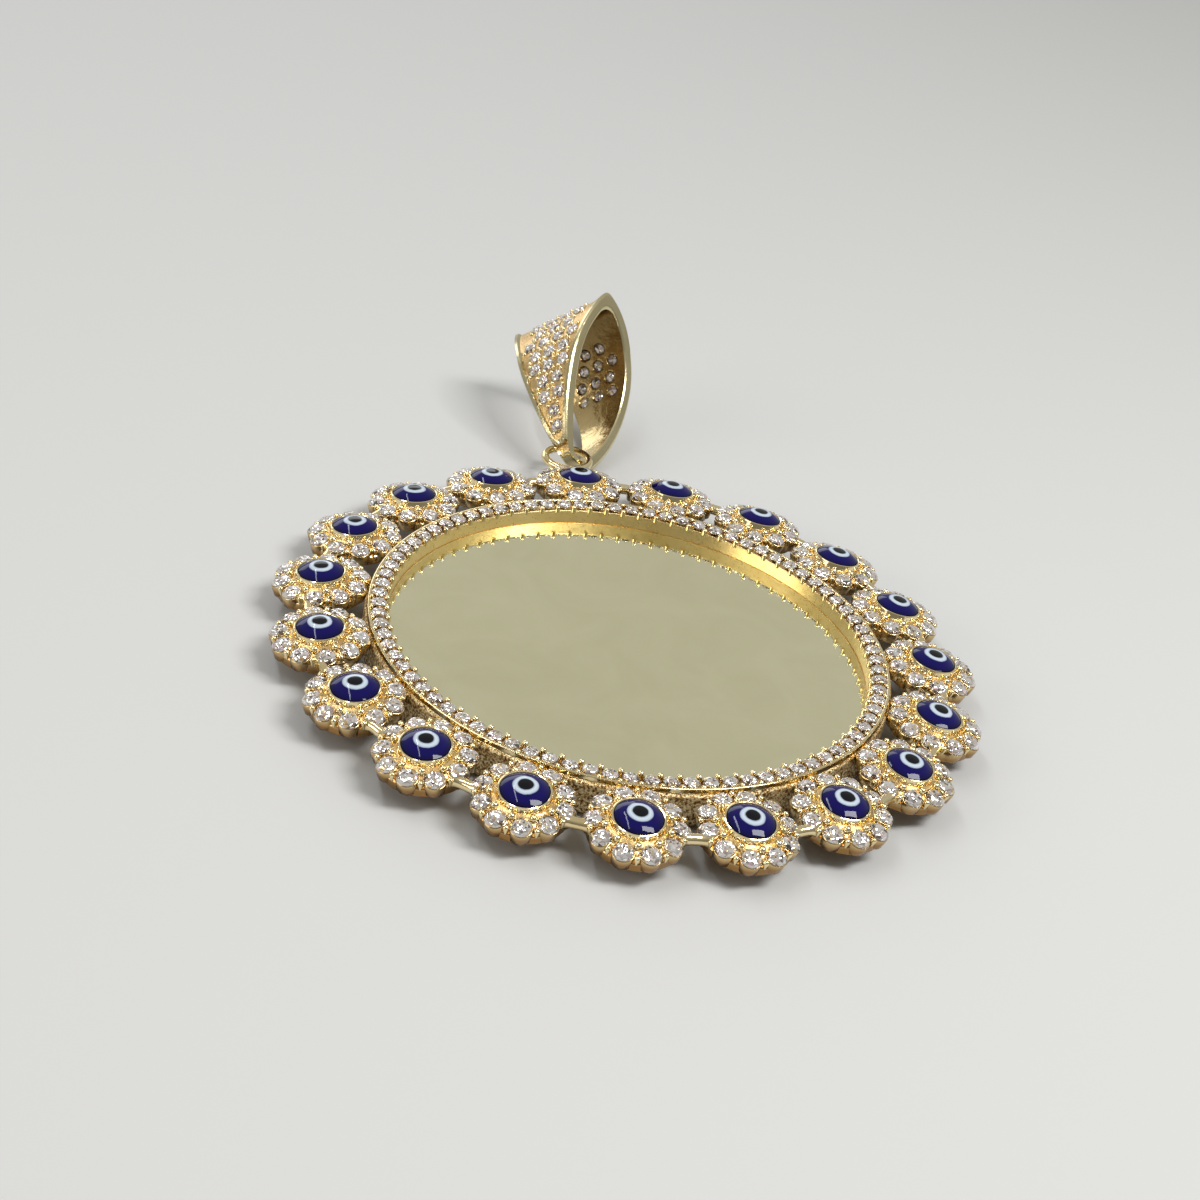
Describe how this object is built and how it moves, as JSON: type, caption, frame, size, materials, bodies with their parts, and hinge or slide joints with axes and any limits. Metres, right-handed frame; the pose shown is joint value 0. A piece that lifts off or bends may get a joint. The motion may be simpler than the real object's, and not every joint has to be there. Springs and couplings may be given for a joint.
{
  "type": "evil eye pendant",
  "caption": "Round gold medallion with a mirror centre, a stone-set ring, a border of enamel eye flowers and a tapered stone-set bail.",
  "frame": {"origin": "centre of the flat back of the medallion", "axes": "+Z out of the face with the eyes, +Y towards the bail"},
  "size_m": [0.0458, 0.0602, 0.0111],
  "materials": {
    "gold_frame": "polished",
    "gold_bail": "polished",
    "mirror_plate": "polished",
    "enamel": "gloss",
    "stones": "faceted",
    "bail_stones": "faceted"
  },
  "bodies": {
    "medallion": {"frame": "gold_frame", "plate": "mirror_plate", "eye_01": "enamel", "eye_02": "enamel", "eye_03": "enamel", "eye_04": "enamel", "eye_05": "enamel", "eye_06": "enamel", "eye_07": "enamel", "eye_08": "enamel", "eye_09": "enamel", "eye_10": "enamel", "eye_11": "enamel", "eye_12": "enamel", "eye_13": "enamel", "eye_14": "enamel", "eye_15": "enamel", "eye_16": "enamel", "eye_17": "enamel", "eye_18": "enamel", "eye_19": "enamel", "flower_stones": "stones"},
    "bail": {"bail": "gold_bail", "bail_stones": "bail_stones"}
  },
  "joints": [
    {"name": "bail_swing", "type": "hinge", "parent": "medallion", "child": "bail", "pos_m": [0.00092, 0.0259, 0.00177], "axis": [1, 0, 0], "range_deg": [-2, 60]}
  ]
}
